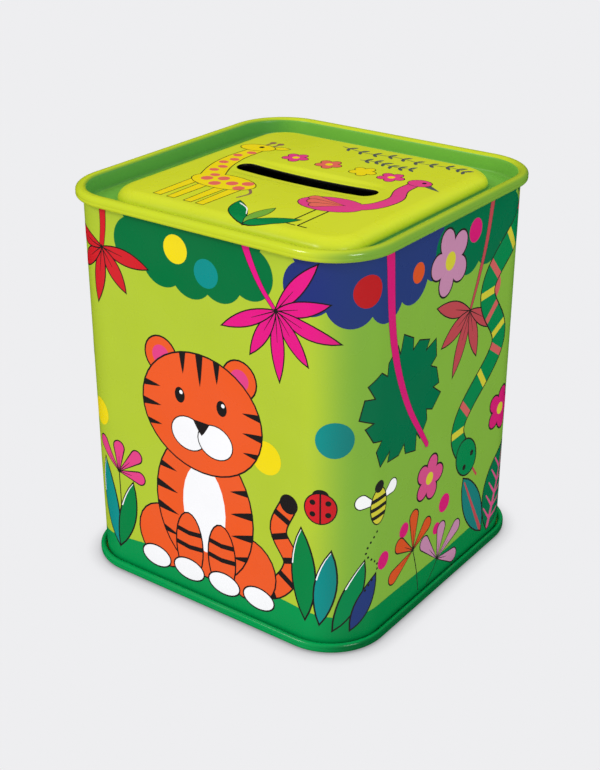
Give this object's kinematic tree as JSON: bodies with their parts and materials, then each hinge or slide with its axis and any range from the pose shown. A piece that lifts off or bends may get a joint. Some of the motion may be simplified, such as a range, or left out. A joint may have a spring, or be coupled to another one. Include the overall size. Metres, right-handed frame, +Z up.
{
  "type": "square tin money box",
  "caption": "Square seamed tin money box with rounded corners, a recessed top with a coin slot, and a pull-out stopper with a lift tab in its base.",
  "frame": {"origin": "middle of the base, on the floor that the box stands on", "axes": "+Z up through the coin slot, front panel towards -Y, lock seam of the wall towards +Y"},
  "size_m": [0.085, 0.085, 0.099],
  "materials": {
    "wall_print": "gloss",
    "top_print": "gloss",
    "green_lacquer": "gloss",
    "stopper_plastic": "satin",
    "tab_plastic": "satin"
  },
  "bodies": {
    "can": {"body_wall": "wall_print", "top_end": "top_print", "base_end": "green_lacquer"},
    "stopper_plug": {"stopper": "stopper_plastic"},
    "pull_tab": {"stopper_pull_tab": "tab_plastic"}
  },
  "joints": [
    {"name": "stopper_pull", "type": "slide", "parent": "can", "child": "stopper_plug", "axis": [0, 0, -1], "range_m": [0, 0.014]},
    {"name": "tab_lift", "type": "hinge", "parent": "stopper_plug", "child": "pull_tab", "pos_m": [-0.0074, 0, 0.0034], "axis": [0, 1, 0], "range_deg": [0, 95], "stiffness_Nm_per_rad": 0.004}
  ]
}
